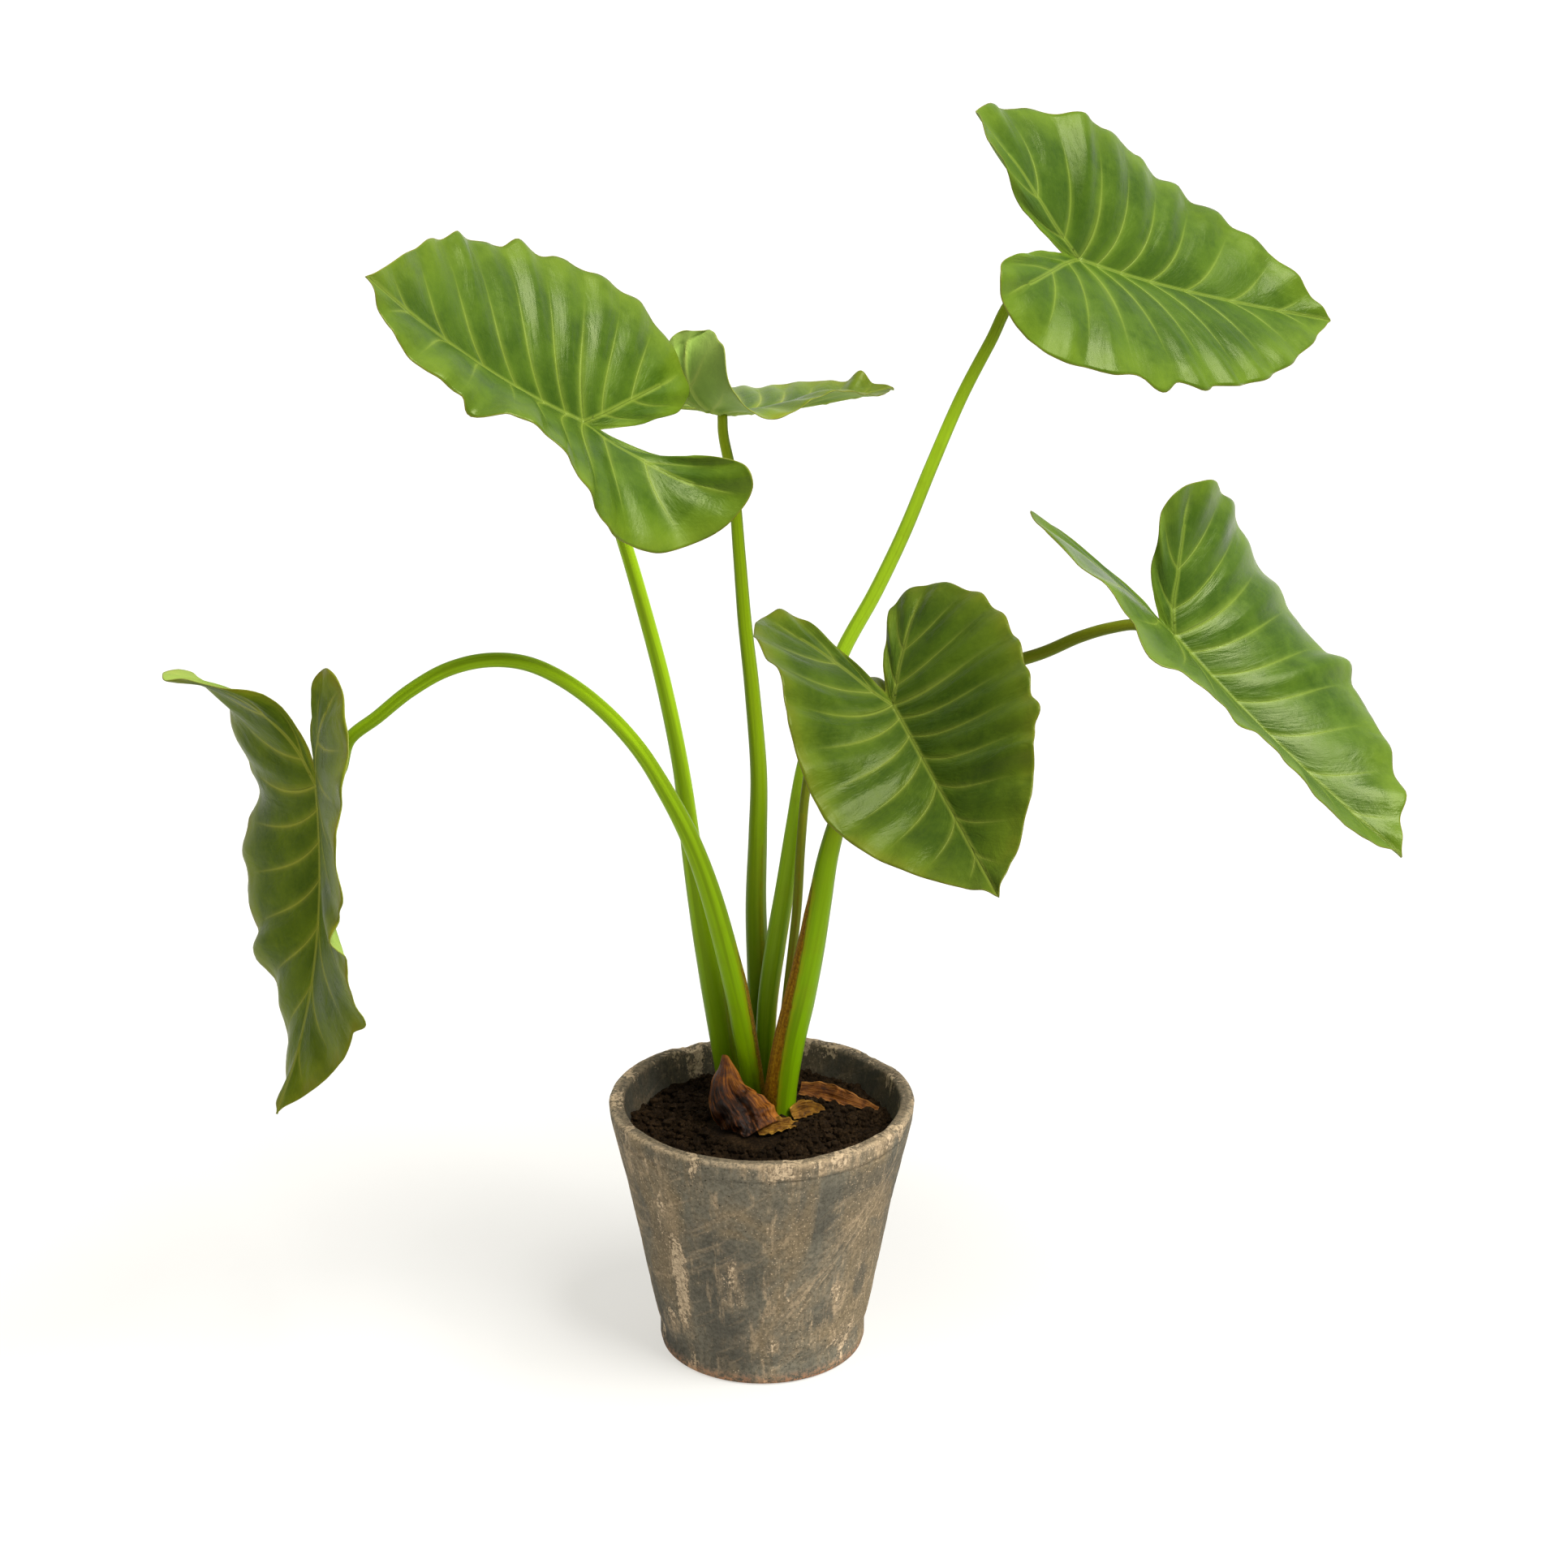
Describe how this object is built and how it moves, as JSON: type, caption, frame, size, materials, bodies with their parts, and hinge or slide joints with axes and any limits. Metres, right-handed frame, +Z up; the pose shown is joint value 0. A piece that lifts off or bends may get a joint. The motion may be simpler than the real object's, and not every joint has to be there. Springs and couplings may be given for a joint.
{
  "type": "potted alocasia",
  "caption": "Elephant-ear house plant with broad arrow-shaped waved leaves on long arching sheathed stalks, growing from soil in a round tapered clay pot; stands on a floor as decoration.",
  "frame": {"origin": "middle of the pot's flat base, on the surface that it stands on", "axes": "+Z up, -Y towards the front of the plant as pictured, +X towards its right as seen from there"},
  "size_m": [1.1351, 0.5675, 1.2088],
  "materials": {
    "pot": "matte",
    "soil": "matte",
    "stalk": "satin",
    "blade": "satin",
    "sheath": "matte"
  },
  "bodies": {
    "root": {"pot": "pot", "soil": "soil", "petiole_high_left": "stalk", "petiole_back": "stalk", "petiole_high_right": "stalk", "petiole_low_right": "stalk", "petiole_front": "stalk", "petiole_drooping_left": "stalk", "blade_high_left": "blade", "blade_back": "blade", "blade_high_right": "blade", "blade_low_right": "blade", "blade_front": "blade", "blade_drooping_left": "blade", "dried_sheath_large": "sheath", "dried_sheath_tongue": "sheath", "dried_sheath_strip": "sheath"}
  },
  "joints": []
}
